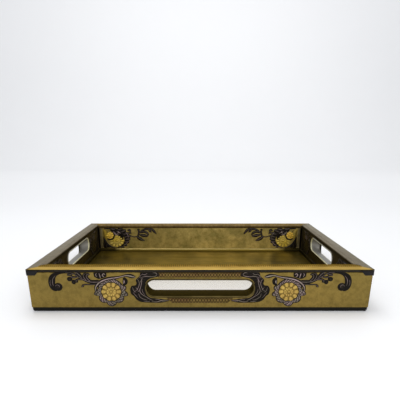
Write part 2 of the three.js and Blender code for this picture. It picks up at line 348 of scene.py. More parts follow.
def polar_disc(relief, centre, edge, surface, spokes, rings, stretch=(1.0, 1.0)):
    """A raised disc. edge(angle) is its radius and surface(r, angle) its (lift, shade), r from 0 to 1."""
    points = [(centre[0], centre[1], *surface(0.0, 0.0))]
    faces = []
    for ring in range(1, rings + 2):
        r = min(1.0, ring / rings)
        for spoke in range(spokes):
            angle = 2 * math.pi * spoke / spokes
            reach = edge(angle) * r
            height_and_shade = surface(r, angle) if ring <= rings else (SINK, 0.0)
            points.append((centre[0] + reach * math.cos(angle) * stretch[0],
                           centre[1] + reach * math.sin(angle) * stretch[1], *height_and_shade))
    for spoke in range(spokes):
        here, there = 1 + spoke, 1 + (spoke + 1) % spokes
        faces.append((0, here, there))
        for ring in range(rings):
            inner, outer = ring * spokes, (ring + 1) * spokes
            faces.append((inner + here, outer + here, outer + there, inner + there))
    faces.append(tuple(range(1 + rings * spokes, 1 + (rings + 1) * spokes)))
    relief.add(points, faces)


def polar_ring(relief, centre, hole, edge, surface, spokes, rings):
    """A raised ring between the radii hole(angle) and edge(angle)."""
    loops = []
    for spoke in range(spokes):
        angle = 2 * math.pi * spoke / spokes
        across = [(0.0, SINK, 0.0)]
        across += [(i / rings, *surface(i / rings, angle)) for i in range(rings + 1)]
        across.append((1.0, SINK, 0.0))
        loop = []
        for r, lift, shade in across:
            reach = hole(angle) + (edge(angle) - hole(angle)) * r
            loop.append((centre[0] + reach * math.cos(angle), centre[1] + reach * math.sin(angle), lift, shade))
        loops.append(loop)
    relief.add(*loft(loops, ring=True))


def dome(relief, centre, radii, height, shade=0.8, steps=24):
    """A raised round or oval boss."""
    def surface(r, _):
        return height * math.sqrt(max(0.0, 1 - r ** 2)), shade * (1 - r) ** 0.5

    polar_disc(relief, centre, lambda _: 1.0, surface, steps, 5, radii)


# ---------------------------------------------------------------- materials


class Finish:
    """A material round one Principled shader, in the tray's own coordinates, coloured in layers."""

    def __init__(self, name, metallic, body, **sockets):
        self.material = bpy.data.materials.new(name)
        self.material.use_nodes = True
        self.tree = self.material.node_tree
        self.shader = self.tree.nodes["Principled BSDF"]
        self.feed(self.shader, Metallic=metallic, **sockets)
        self.place = self.node("TexCoord", "Object")
        self.colour = body

    def feed(self, node, **sockets):
        """Links or sets a node's inputs, named with _ for a space, or with a _ and their number."""
        for name, value in sockets.items():
            socket = node.inputs[int(name[1:]) if name[1:].isdigit() else name.replace("_", " ")]
            if isinstance(value, bpy.types.NodeSocket):
                self.tree.links.new(value, socket)
            else:
                socket.default_value = (*value, 1.0) if socket.type == "RGBA" else value

    def node(self, kind, output, settings=(), **sockets):
        """Adds a shader node with its settings, feeds its inputs and returns one of its outputs."""
        made = self.tree.nodes.new("ShaderNode" + kind)
        for key, value in settings:
            setattr(made, key, value)
        self.feed(made, **sockets)
        return made.outputs[output]

    def noise(self, scale, detail=4.0, roughness=0.55, stretch=None):
        place = self.node("Mapping", "Vector", Vector=self.place, Scale=stretch) if stretch else self.place
        return self.node("TexNoise", "Fac", Vector=place, Scale=scale, Detail=detail, Roughness=roughness)

    def shade(self):
        """The mesh's own shade: 0 in hollows and 1 on crests."""
        return self.node("Attribute", "Fac", [("attribute_name", "shade")])

    def height(self):
        return self.node("SeparateXYZ", "Z", Vector=self.place)

    def along(self):
        """Distance from the tray's middle along its length."""
        return self.maths("ABSOLUTE", self.node("SeparateXYZ", "X", Vector=self.place))

    def span(self, source, low, high, to_low=0.0, to_high=1.0):
        return self.node("MapRange", "Result", Value=source, From_Min=low, From_Max=high, To_Min=to_low,
                         To_Max=to_high)

    def maths(self, operation, first, second=0.0):
        return self.node("Math", "Value", [("operation", operation)], _0=first, _1=second)

    def mix(self, factor, first, second):
        return self.node("Mix", "Result", [("data_type", "RGBA")], Factor=factor, A=first, B=second)

    def cover(self, colour, factor):
        """Covers the colour so far with another one."""
        self.colour = self.mix(factor, self.colour, colour)

    def layer(self, colour, source, low, high, most=1.0):
        """The same, from nothing where the source is low to most where it is high."""
        self.cover(colour, self.span(source, low, high, 0.0, most))

    def close(self, rough, *bumps):
        """Feeds the shader, with bumps as (height, depth in millimetres), one on top of the other."""
        self.feed(self.shader, Base_Color=self.colour, Roughness=rough)
        for height, depth in bumps:
            below = self.shader.inputs["Normal"].links
            under = {"Normal": below[0].from_socket} if below else {}
            bump = self.node("Bump", "Normal", Distance=depth * MM, Height=height, **under)
            self.feed(self.shader, Normal=bump)
        return self.material


# Painted shade under the rim, partly dark patina, how far its edge wanders, and how noise is stretched along
# the tray
RIM_SHADE_AND_PATINA = (0.015, 0.010, 0.004)
RAGGED = 0.8
BRUSHED = (0.12, 1.0, 1.0)


def patina_brass(name, deep, body, warm, rough, dark_above=RIM, smears=(16.0, 3.0)):
    """Aged sheet brass: clouds or smears, fine mottling, brown spots, and a dark band under the rim that is
    painted shade, partly dark patina.
    """
    finish = Finish(name, 0.95, body)
    clouds = finish.noise(*smears)
    mottle = finish.noise(130.0, 6.0, 0.7)
    grain = finish.noise(700.0, 3.0, 0.6)
    spots = finish.noise(55.0, 8.0, 0.75)
    finish.layer(warm, clouds, 0.38, 0.62)
    finish.layer(deep, mottle, 0.45, 0.72, 0.7)
    finish.layer(deep, spots, 0.60, 0.72, 0.55)
    finish.layer(deep, grain, 0.35, 0.75, 0.3)
    # painted shade: the sheet darkens towards its top edge under the rim, with a ragged edge, partly as dark
    # patina
    ragged = finish.maths("ADD", finish.height(), finish.span(spots, 0.3, 0.7, -RAGGED * MM, RAGGED * MM))
    finish.layer(RIM_SHADE_AND_PATINA, ragged, (dark_above - RAGGED) * MM, dark_above * MM, 0.92)
    return finish.close(finish.span(mottle, 0.3, 0.75, *rough), (clouds, 0.6), (mottle, 0.06), (grain, 0.02))


# The part of the floor that use keeps polished: its middle and its half lengths along X and Y
POLISH_MIDDLE = (0.0, -72.0, 0.0)
POLISH_REACH = (104.0, 35.0, 1000.0)
FLOOR_DARK = (0.11, 0.075, 0.006)


def floor_brass():
    """The floor sheet: brown patina with polishing streaks, rubbed bright where things slide in and out."""
    finish = Finish("floor_patina", 0.95, (0.094, 0.066, 0.004))
    clouds = finish.noise(14.0, 6.0, 0.7)
    streaks = finish.noise(60.0, 5.0, 0.65, BRUSHED)
    grain = finish.noise(600.0, 3.0, 0.6)
    finish.layer((0.272, 0.192, 0.023), clouds, 0.36, 0.66)
    finish.layer(FLOOR_DARK, streaks, 0.42, 0.7, 0.75)
    near = finish.node("Mapping", "Vector", [("vector_type", "TEXTURE")], Vector=finish.place,
                       Location=Vector(POLISH_MIDDLE) * MM, Scale=Vector(POLISH_REACH) * MM)
    squared = finish.node("VectorMath", "Vector", [("operation", "MULTIPLY")], _0=near, _1=near)
    distance = finish.node("VectorMath", "Value", [("operation", "LENGTH")], _0=squared)
    edge = finish.maths("ADD", distance, finish.span(clouds, 0.3, 0.7, -0.3, 0.3))
    polished = finish.span(edge, 0.95, 2.0, 1.0, 0.0)
    finish.cover((0.46, 0.34, 0.11), finish.span(edge, 0.9, 4.2, 0.55, 0.0))
    finish.layer(FLOOR_DARK, grain, 0.4, 0.75, 0.2)
    finish.cover((0.80, 0.76, 0.69), polished)
    dull = finish.span(streaks, 0.3, 0.75, 0.30, 0.46)
    rough = finish.maths("MULTIPLY", dull, finish.span(polished, 0.0, 1.0, 1.0, 0.5))
    return finish.close(rough, (clouds, 0.4), (streaks, 0.01), (grain, 0.004))


# How far from the rim's ends its bright face starts and stops to darken, as painted shade
CAP_ENDS_DARK = (6.0, 2.0)


def bright_brass(name, body, tarnish, rough, edge, dark_below=None):
    """Bright brass, clouded and scratched, whose colour on each cap is painted light. A cap can be dark low
    down and at its ends, which is painted shade.
    """
    finish = Finish(name, 1.0, body, Specular_Tint=edge)
    clouds = finish.noise(30.0, 5.0, 0.6)
    scratches = finish.noise(260.0, 4.0, 0.7, BRUSHED)
    grain = finish.noise(900.0, 2.0)
    finish.layer(tarnish, clouds, 0.38, 0.7, 0.8)
    finish.layer(tarnish, scratches, 0.55, 0.75, 0.3)
    # painted shade: the front cap's lower nose and its ends go near black, narrowing its painted highlight
    if dark_below:
        low = finish.span(finish.height(), (dark_below - 0.4) * MM, dark_below * MM, 1.0, 0.0)
        start, stop = ((HALF_LENGTH - inset) * MM for inset in CAP_ENDS_DARK)
        ends = finish.span(finish.along(), start, stop, 0.0, 0.85)
        finish.cover((0.02, 0.014, 0.006), finish.maths("MAXIMUM", low, ends))
    return finish.close(finish.span(scratches, 0.3, 0.75, *rough), (scratches, 0.02), (grain, 0.01))


# Half the length of the bead that keeps its painted highlight, and the stretch over which painted shade darkens
# it to the corners
BEAD_BRIGHT_HALF = 158.0
BEAD_FADE = 14.0


def bead_metal(name, body, foot, dark_below):
    """The floor's bead: a painted highlight along its top, and painted shade at its foot, towards the corners
    and along the end walls.
    """
    finish = Finish(name, 1.0, (0.008, 0.006, 0.002))
    clouds = finish.noise(50.0, 5.0, 0.6)
    grain = finish.noise(900.0, 3.0)
    # painted highlight on the top and painted shade at the foot; past the bright half length it fades to near
    # black
    ragged = finish.maths("ADD", finish.height(), finish.span(clouds, 0.3, 0.7, -0.5 * MM, 0.5 * MM))
    top = finish.span(ragged, (dark_below - 1.0) * MM, dark_below * MM)
    ends = (BEAD_BRIGHT_HALF * MM, (BEAD_BRIGHT_HALF + BEAD_FADE) * MM)
    finish.cover(finish.mix(top, foot, body), finish.span(finish.along(), *ends, 1.0, 0.0))
    finish.layer(foot, grain, 0.4, 0.75, 0.3)
    return finish.close(finish.span(clouds, 0.3, 0.7, 0.34, 0.5), (clouds, 0.05), (grain, 0.01))


def reed_metal(name, valley, crest, leg, edge, dark_below):
    """The reeded strip: dark between its reeds, and dark where it hangs down inside the tray as painted shade.
    """
    finish = Finish(name, 1.0, valley, Specular_Tint=edge)
    clouds = finish.noise(45.0, 5.0, 0.6)
    grain = finish.noise(900.0, 3.0)
    rubbed = finish.maths("MULTIPLY", finish.span(finish.shade(), 0.35, 0.95),
                          finish.span(clouds, 0.35, 0.65, 0.6, 1.1))
    finish.cover(crest, rubbed)
    # painted shade: below dark_below the leg hanging inside the tray turns dark
    low = finish.span(finish.height(), (dark_below - 1.2) * MM, dark_below * MM, 1.0, 0.0)
    finish.cover(finish.mix(rubbed, (0.01, 0.007, 0.003), leg), low)
    return finish.close(finish.span(grain, 0.3, 0.75, 0.32, 0.48), (clouds, 0.05), (grain, 0.01))


def shaded_metal(name, metallic, hollow, crest, tint, rough, shade_from=0.0, edge=(1, 1, 1)):
    """Embossed metal: dark in its hollows, with crests lighter in a colour that drifts to a tint:
    rubbed on the ornament, a painted highlight on the liners and corner strips.
    """
    finish = Finish(name, metallic, hollow, Specular_IOR_Level=0.25, Specular_Tint=edge)
    drift = finish.noise(60.0, 3.0)
    mottle = finish.noise(240.0, 5.0, 0.65)
    grain = finish.noise(1100.0, 2.0)
    # crests lighten where the mesh's shade is high: rubbed brass on the ornament, a painted highlight on the
    # liners and corner strips
    rubbed = finish.maths("MULTIPLY", finish.span(finish.shade(), shade_from, 1.0),
                          finish.span(mottle, 0.3, 0.7, 0.5, 1.25))
    finish.cover(finish.mix(finish.span(drift, 0.4, 0.62), crest, tint), rubbed)
    finish.layer(hollow, grain, 0.4, 0.8, 0.4)
    return finish.close(finish.span(mottle, 0.3, 0.75, *rough), (mottle, 0.1), (grain, 0.02))


def corner_paint():
    """Satin black paint with faint brush waves, dust and wear along its edges."""
    finish = Finish("corner_paint", 0.0, (0.003, 0.003, 0.0035), Specular_IOR_Level=0.12)
    waves = finish.noise(140.0, 4.0, 0.6, (0.2, 0.2, 1.0))
    dust = finish.noise(420.0, 6.0, 0.75)
    worn = (0.016, 0.014, 0.014)
    finish.layer(worn, dust, 0.55, 0.8, 0.5)
    finish.layer(worn, finish.node("NewGeometry", "Pointiness"), 0.52, 0.6)
    return finish.close(finish.span(waves, 0.3, 0.7, 0.38, 0.6), (waves, 0.08), (dust, 0.02))


def base_finish():
    """Black paint round the base board's edge, and dark stained wood on its underside."""
    finish = Finish("base_paint", 0.0, (0.004, 0.0035, 0.002), Specular_IOR_Level=0.12)
    dust = finish.noise(420.0, 6.0, 0.75)
    rings = finish.noise(70.0, 6.0, 0.65, BRUSHED)
    pores = finish.noise(900.0, 2.0, 0.5, (0.08, 1.0, 1.0))
    finish.layer((0.016, 0.013, 0.008), dust, 0.55, 0.8, 0.5)
    wood = finish.mix(finish.span(rings, 0.35, 0.68), (0.125, 0.078, 0.042), (0.055, 0.033, 0.018))
    wood = finish.mix(finish.span(pores, 0.58, 0.72, 0.0, 0.6), wood, (0.022, 0.013, 0.008))
    finish.cover(wood, finish.span(finish.height(), 0.05 * MM, 0.35 * MM, 1.0, 0.0))
    return finish.close(finish.span(rings, 0.3, 0.7, 0.42, 0.62), (rings, 0.06), (dust, 0.02))


def board_wood(name, pale, dark, scale):
    """Plain wood: rings stretched along the grain, with pores."""
    finish = Finish(name, 0.0, pale)
    rings = finish.noise(90.0, 6.0, 0.6, scale)
    pores = finish.noise(1500.0, 2.0, 0.5, scale)
    finish.layer(dark, rings, 0.3, 0.7)
    finish.layer(dark, pores, 0.6, 0.75, 0.7)
    return finish.close(finish.span(rings, 0.3, 0.7, 0.6, 0.8), (rings, 0.1), (pores, 0.05))


def screw_steel():
    """Zinc-plated steel with a light cloud over it."""
    finish = Finish("zinc_steel", 1.0, (0.52, 0.52, 0.50))
    clouds = finish.noise(400.0, 4.0)
    finish.layer((0.34, 0.33, 0.30), clouds, 0.35, 0.7)
    return finish.close(finish.span(clouds, 0.3, 0.7, 0.28, 0.45), (clouds, 0.03))


def by_wall(front, ends, back=None):
    return {"front": front, "right": ends, "back": back, "left": ends}


# How a metal's edge-on reflection is tinted, and the heights that bound painted shade: above SHEET_DARK on the
# outer sheets, below CAP_DARK on the front cap and below BEAD_DARK on the bead
GOLD_EDGE = (0.90, 0.76, 0.52)
GREY_EDGE = (0.90, 0.86, 0.78)
BROWN_EDGE = (0.62, 0.50, 0.32)
LINER_EDGE = (0.60, 0.52, 0.34)
SHEET_DARK = OUTER_HIGH.z - 1.0
CAP_DARK = CAP_TOP - 0.25
BEAD_DARK = box_mm("front_floor_bead")[1].z - 1.2

# Sheets: the deep, main and warm colours, then the range of roughness. The end walls' inner sheets get a much
# darker copy of the inner brass, which is painted shade.
OUTER_BRASS = patina_brass("outer_patina", (0.115, 0.081, 0.020), (0.228, 0.161, 0.0405),
                           (0.274, 0.188, 0.0465), (0.36, 0.58), SHEET_DARK)
INNER_BRASS = patina_brass("inner_patina", (0.12, 0.085, 0.018), (0.28, 0.222, 0.064), (0.49, 0.365, 0.115),
                           (0.32, 0.5), smears=(38.0, 6.0))
END_SHADED_BRASS = patina_brass("end_patina", (0.02, 0.014, 0.004), (0.085, 0.059, 0.016), (0.062, 0.042, 0.011),
                         (0.40, 0.58))
INNER_METAL = by_wall(INNER_BRASS, END_SHADED_BRASS, INNER_BRASS)

# Caps: the main and tarnished colours, then the range of roughness. The gold front, grey sides and brown back
# are lit and shaded copies of one brass: a painted highlight on the front, painted reflection and shade on the
# sides and back.
RIM_METAL = by_wall(
    bright_brass("rim_gold", (0.62, 0.43, 0.115), (0.44, 0.29, 0.07), (0.26, 0.42), GOLD_EDGE, CAP_DARK),
    bright_brass("rim_grey", (0.225, 0.195, 0.14), (0.16, 0.135, 0.085), (0.32, 0.46), GREY_EDGE),
    bright_brass("rim_brown", (0.26, 0.195, 0.09), (0.15, 0.105, 0.045), (0.32, 0.46), BROWN_EDGE))

# Reeded strips: the colours of valleys, crests and the leg inside, and how far down the leg starts. The gold,
# grey and brown strips are lit and shaded copies for the front, sides and back, and the dark leg is painted
# shade.
REED_METAL = by_wall(*(reed_metal(name, *colours, edge, CAP_TOP - drop) for name, colours, edge, drop in (
    ("reed_gold", ((0.012, 0.008, 0.002), (0.32, 0.21, 0.055), (0.10, 0.08, 0.03)), BROWN_EDGE, 1.0),
    ("reed_grey", ((0.11, 0.09, 0.07), (0.28, 0.24, 0.17), (0.08, 0.07, 0.04)), GREY_EDGE, 0.4),
    ("reed_brown", ((0.030, 0.018, 0.007), (0.30, 0.21, 0.09), (0.19, 0.125, 0.05)), BROWN_EDGE, 2.4))))
BEAD_GOLD = bead_metal("bead_gold", (0.34, 0.265, 0.10), (0.09, 0.062, 0.010), BEAD_DARK)

# Embossed metals: how metallic, the colours of hollows, crests and the crests' tint, the range of
# roughness, and for some the shade that crests start from and the edge-on tint. On strip_brass and the
# liners these colours are painted light and shade, liner_dark being a shaded copy and liner_grey a lit
# one, and dark_gold is a shaded copy of the gold for the end walls
METAL = {name: shaded_metal(name, *row) for name, *row in (
    ("strip_brass", 0.9, (0.010, 0.007, 0.004), (0.50, 0.41, 0.20), (0.34, 0.27, 0.12), (0.3, 0.45)),
    ("liner_dark", 1.0, (0.040, 0.031, 0.014), (0.16, 0.12, 0.045), (0.09, 0.068, 0.025), (0.5, 0.62), 0.0,
     LINER_EDGE),
    ("liner_grey", 0.6, (0.33, 0.315, 0.28), (0.98, 0.93, 0.60), (0.86, 0.82, 0.50), (0.45, 0.6)),
    ("scroll_black", 0.6, (0.005, 0.003, 0.0015), (0.17, 0.11, 0.095), (0.13, 0.095, 0.04), (0.32, 0.5), 0.3),
    ("lace_grey", 0.75, (0.010, 0.006, 0.005), (0.48, 0.35, 0.33), (0.30, 0.26, 0.19), (0.36, 0.52)),
    ("fret_brass", 0.9, (0.022, 0.013, 0.004), (0.44, 0.30, 0.085), (0.33, 0.19, 0.075), (0.36, 0.55)),
    ("flower_gold", 0.9, (0.05, 0.03, 0.006), (0.64, 0.44, 0.11), (0.54, 0.35, 0.09), (0.34, 0.5)),
    ("inner_gold", 0.3, (0.09, 0.045, 0.004), (0.98, 0.64, 0.08), (0.85, 0.52, 0.06), (0.34, 0.5)),
    ("old_gold", 0.25, (0.12, 0.075, 0.006), (0.70, 0.49, 0.055), (0.60, 0.45, 0.10), (0.36, 0.52)),
    ("dark_gold", 0.8, (0.012, 0.008, 0.002), (0.10, 0.07, 0.018), (0.06, 0.05, 0.02), (0.4, 0.55)))}
# Painted light: the front liner is a dark copy for its shaded hole and the end liners a pale grey lit copy
LINER_METAL = by_wall(METAL["liner_dark"], METAL["liner_grey"])
BASE_BLACK = base_finish()
CORNER_BLACK = corner_paint()
CORE_WOOD = board_wood("stained_core", (0.012, 0.008, 0.005), (0.006, 0.004, 0.003), (1.0, 1.0, 6.0))
SPLINE_WOOD = board_wood("spline_wood", (0.40, 0.27, 0.15), (0.20, 0.12, 0.06), (1.0, 1.0, 0.15))
SCREW_STEEL = screw_steel()


def dress_cad_nodes():
    """Gives each CAD node that stays in view its finish."""
    by_ending = {
        "_outer_sheet": OUTER_BRASS,
        **{f"{name}_inner_sheet": metal for name, metal in INNER_METAL.items()},
        "floor_sheet": floor_brass(),
        "_wall_core": CORE_WOOD,
        "_spline": SPLINE_WOOD,
    }
    for name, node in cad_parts.items():
        for ending, material in by_ending.items():
            if name.endswith(ending):
                node.data.materials.clear()
                node.data.materials.append(material)


# ---------------------------------------------------------------- rim, base and fittings


def arc(centre, radii, start, end, steps):
    """Points on an elliptical arc, angles in degrees."""
    points = []
    for i in range(steps + 1):
        angle = math.radians(start + (end - start) * i / steps)
        points.append((centre[0] + radii[0] * math.cos(angle), centre[1] + radii[1] * math.sin(angle)))
    return points


REED_RECESS = 0.9
CAP_NOSE = (1.2, 1.0)


def rim_cap(wall):
    """The flat cap: a soft rounded nose outside, and a step down for the reeded strip."""
    low, inner_edge, step = CAP_LOW.z, CAP_HIGH.y + HALF_WIDTH, CAP_TOP - REED_RECESS
    band_edge = box_mm("front_rim_reed")[0].y + HALF_WIDTH - GAP
    nose_centre = (CAP_NOSE[0], CAP_TOP - CAP_NOSE[1])
    section = [(0.5, low), (0.0, low + 0.25)]
    section += arc(nose_centre, CAP_NOSE, 180, 90, 10)
    section += [(band_edge / 2, CAP_TOP), (band_edge - 0.2, CAP_TOP), (band_edge, CAP_TOP - 0.2)]
    section += [(band_edge, step), (inner_edge, step), (inner_edge, low)]
    mitred_bar(f"{wall.name}_cap", wall, section, RIM_METAL[wall.name], "rim_brass", [f"{wall.name}_rim_cap"])


REED_PITCH = 2.7
REED_SAMPLES = 8
REED_RISE = 0.5


def reed_wave(along):
    """Half-round reeds with sharp valleys: 0 in a valley and 1 on a crest."""
    phase = (along / REED_PITCH) % 1.0
    return math.sqrt(max(0.0, 1 - (2 * phase - 1) ** 2))


def reed_section():
    """The section in the reeds' valleys: (depth, height, rise, outward depth, outward height)."""
    low, high = box_mm("front_rim_reed")
    outer_edge, foot = low.y + HALF_WIDTH, high.y + HALF_WIDTH
    corner = foot - (high.z - low.z) * LEAN
    top = RIM - REED_RISE
    section = [(outer_edge, low.z, 0, 0, 0), (outer_edge, top - 0.7, 0, 0, 0)]
    for x, z in arc((0, 0), (1, 1), 180, 90, 5):
        section.append((outer_edge + 0.8 + 0.6 * x, top - 0.6 + 0.6 * z, 1, 0.4 * x, z))
    for step in range(1, 4):
        section.append((outer_edge + 0.8 + (corner - outer_edge - 2.0) * step / 4, top, 1, 0, 1))
    for x, z in arc((0, 0), (1, 1), 90, 0, 5):
        section.append((corner - REED_RISE - 0.7 + 0.7 * x, top - 0.7 + 0.7 * z, 1, x, z))
    drop = REED_RISE + 0.7
    section.append((corner - REED_RISE + drop * LEAN, top - drop, 1, 1, 0))
    section.append((foot - REED_RISE - 0.1, low.z + 0.9, 1, 1, 0))
    section.append((foot - REED_RISE, low.z, 0, 0, 0))
    section.append((foot - REED_RISE - 0.2, low.z, 0, 0, 0))
    section.append((corner - 1.1, low.z + 5.0, 0, 0, 0))
    return section


def rim_reeds(wall):
    """The reeded strip, whose reeds cross the rim's inner half and turn down the inner face."""
    section = reed_section()
    stations = round(2 * wall.half / REED_PITCH * REED_SAMPLES)
    loops, shades = [], []
    for i in range(stations + 1):
        along = -wall.half + 2 * wall.half * i / stations
        loops.append([])
        for depth, height, rise, out_depth, out_height in section:
            limit = wall.half - MITRE_GAP - depth
            at = max(-limit, min(limit, along))
            wave = rise * reed_wave(at)
            swell = REED_RISE * wave
            loops[-1].append(wall.point(at, depth + out_depth * swell, height + out_height * swell))
            shades.append(wave)
    new_piece(f"{wall.name}_reeds", *loft(loops), REED_METAL[wall.name], "reed_brass",
              [f"{wall.name}_rim_reed"], shades=shades)


def floor_bead(wall):
    """A quarter-round bead between the wall and the floor."""
    low, high = box_mm("front_floor_bead")
    toe = high.y + HALF_WIDTH
    back = low.y + HALF_WIDTH
    heel = back + (high.z - low.z) * LEAN
    section = [(heel, low.z)]
    section += arc((back + 0.2, low.z), (toe - back - 0.2, high.z - low.z), 0, 90, 12)
    section += [(back, high.z)]
    mitred_bar(f"{wall.name}_bead", wall, section, BEAD_GOLD, "bead_brass", [f"{wall.name}_floor_bead"])


# The lip's profile: how far from the opening, and how far proud of the wall's face
LIP_PROFILE = [(0.0, -1.5), (0.0, 0.1), (0.15, 0.45), (0.5, 0.72), (1.0, 0.8), (1.6, 0.74), (2.05, 0.5),
               (2.3, 0.06)]
# The lip rounds nearer the opening than LIP_BRIGHT carry a painted highlight
LIP_BRIGHT = 1.2
LINER_WALL = 0.7
STADIUM_ARC = 20
STADIUM_STRAIGHT = 10


def stadium(grip, growth):
    """Points round a hand hole, at a distance outside its clear opening, about its centre line."""
    radius = grip.RADIUS + growth
    right = arc((grip.straight, 0), (radius, radius), -90, 90, STADIUM_ARC)
    left = arc((-grip.straight, 0), (radius, radius), 90, 270, STADIUM_ARC)
    top = [(grip.straight * (1 - 2 * i / STADIUM_STRAIGHT), radius) for i in range(1, STADIUM_STRAIGHT)]
    bottom = [(-x, -up) for x, up in top]
    return right + top + left + bottom


def grip_round(wall, face, proud, growth):
    """One round of points about a hand hole, on a leaning face or proud of it."""
    loop = []
    for x, offset in stadium(wall.grip, growth):
        height = wall.grip.height_at(face_at(face, wall.grip.middle)) + offset
        depth = face_at(face, height) + proud
        loop.append(wall.point(wall.grip.along + x, depth, wall.grip.height_at(depth) + offset))
    return loop


def grip_liner(wall):
    """The sleeve through a hand hole, with its lips rolled over both faces of the wall."""
    rounds = [grip_round(wall, OUTER_FACE, -proud, growth) for growth, proud in LIP_PROFILE]
    rounds.append(grip_round(wall, OUTER_FACE, -0.06, LINER_WALL))
    rounds.append(grip_round(wall, INNER_FACE, 0.06, LINER_WALL))
    rounds += [grip_round(wall, INNER_FACE, proud, growth) for growth, proud in LIP_PROFILE[::-1]]
    # painted highlight on the proud lip rounds near the opening; the rest of the lip and the sleeve stay dark
    # as painted shade
    lip = [1.0 if proud > 0 and growth < LIP_BRIGHT else 0.1 if growth else 0.0
           for growth, proud in LIP_PROFILE]
    shades = [shade for shade in [*lip, 0.0, 0.0, *lip[::-1]] for _ in rounds[0]]
    new_piece(f"{wall.name}_liner", *loft(rounds, ring=True), LINER_METAL[wall.name], "liner_brass",
              [f"{wall.name}_grip_liner"], shades=shades)


# Each corner's name, quarter turns, and sides along X and Y
CORNERS = [("front_left", 0, -1, -1), ("front_right", 1, 1, -1), ("back_right", 2, 1, 1),
           ("back_left", 3, -1, 1)]
CORNER_CAP_THICK = 0.5
CORNER_CAP_LEGS = (11.0, 17.0)
CORNER_CAP_ROUND = 0.15
INNER_STRIP_THICK = 0.5
INNER_STRIP_LEG = 8.0
INNER_STRIP_ROLL = 0.75
# How far from a leg's edge its dark part ends and its light part starts: painted shade towards the corner,
# painted light towards the edge
STRIP_DARK = 5.0
STRIP_LIGHT = 4.4


def corner_point(corner, inward_x, inward_y, height):
    """A point measured inwards from the rim's corner along its two walls."""
    _, turns, side_x, side_y = corner
    x, y = turned(inward_x, inward_y, turns)
    return Vector((side_x * HALF_LENGTH + x, side_y * HALF_WIDTH + y, height))


def corner_cap(corner):
    """The black cap outside a corner, a little longer at its top than at its foot."""
    name = f"{corner[0]}_corner_cap"
    low, high = box_mm(name)
    loops = []
    for height, leg in zip((low.z, high.z), CORNER_CAP_LEGS):
        thick = CORNER_CAP_THICK
        start = face_at(OUTER_FACE - GAP - thick, height)
        plan = [(0, 0), (leg, 0), (leg, thick), (thick, thick), (thick, leg), (0, leg)]
        loops.append([corner_point(corner, start + x, start + y, height) for x, y in plan])
    new_piece(f"{corner[0]}_cap", *loft(loops), CORNER_BLACK, "corner_black", [name],
              bevel=CORNER_CAP_ROUND)


def corner_strip(corner):
    """The strip inside a corner: two legs, dark towards the corner as painted shade and with a painted
    highlight on each rolled edge, the end wall's leg kept darker still.
    """
    name = f"{corner[0]}_inner_strip"
    low, high = box_mm(name)
    leg, thick, roll = INNER_STRIP_LEG, INNER_STRIP_THICK, INNER_STRIP_ROLL
    # painted light and shade: each leg is dark near the corner, painted light towards its edge and brightest on
    # the rolled edge
    edge = [(x, y, 1.0) for x, y in arc((leg - roll, 0), (roll, roll), 0, 180, 8)]
    half = [(thick, thick, 0.0), (leg - STRIP_DARK, thick, 0.0), (leg - STRIP_LIGHT, thick, 0.7),
            (leg - 2 * roll, thick, 0.7)]
    half += edge[-2::-1] + [(leg - roll, 0, 0.0)]
    # painted shade: the other leg, on the end wall, keeps only 0.12 of these shades
    other = [(y, x, 0.12 * shade) for x, y, shade in reversed(half[1:])]
    if corner[1] % 2:
        half, other = ([(y, x, shade) for x, y, shade in reversed(side)] for side in (other, half[1:]))
        half.insert(0, (thick, thick, 0.0))
    plan = [(0, 0, 0.0), *other, *half]
    loops = []
    for height in (low.z, high.z):
        start = face_at(INNER_FACE + GAP, height)
        loops.append([corner_point(corner, start + x, start + y, height) for x, y, _ in plan])
    new_piece(f"{corner[0]}_strip", *loft(loops), METAL["strip_brass"], "bead_brass", [name],
              shades=[shade for _, _, shade in plan] * 2)


def lathe(profile, segments):
    """Loops of a piece turned about the Z axis from (radius, height) points."""
    turns = [2 * math.pi * i / segments for i in range(segments)]
    return [[Vector((radius * math.cos(turn), radius * math.sin(turn), height)) for turn in turns]
            for radius, height in profile]


def cut_away(piece, name, cutters):
    """Cuts closed solids, given as (points, faces) in millimetres, out of a piece."""
    tool = link_new(name, new_mesh(name, *joined(cutters)))
    clean_mesh(tool.data)
    modifier = piece.modifiers.new("cut", "BOOLEAN")
    modifier.object = tool
    modifier.solver = "EXACT"
    view = bpy.context.evaluated_depsgraph_get()
    result = bpy.data.meshes.new_from_object(piece.evaluated_get(view))
    piece.modifiers.clear()
    piece.data = result
    clean_mesh(result)
    bpy.data.objects.remove(tool)


SCREW_NODES = sorted(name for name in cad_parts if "base_screw" in name)
SCREW_SINK_HEIGHT = 2.2
SCREW_SHANK = 1.75
SCREW_ROOT = SCREW_SHANK * 0.72
SCREW_CREST = SCREW_SHANK * 0.98
SCREW_THREADS = 8
# The cross recess: half width, half length and depth
CROSS_ARM = (0.55, 2.1, 1.5)
BOARD_CORNER = 3.5
BOARD_EDGE = 3.2


def screw_axis(node):
    low, high = box_mm(node)
    return (low.x + high.x) / 2, (low.y + high.y) / 2


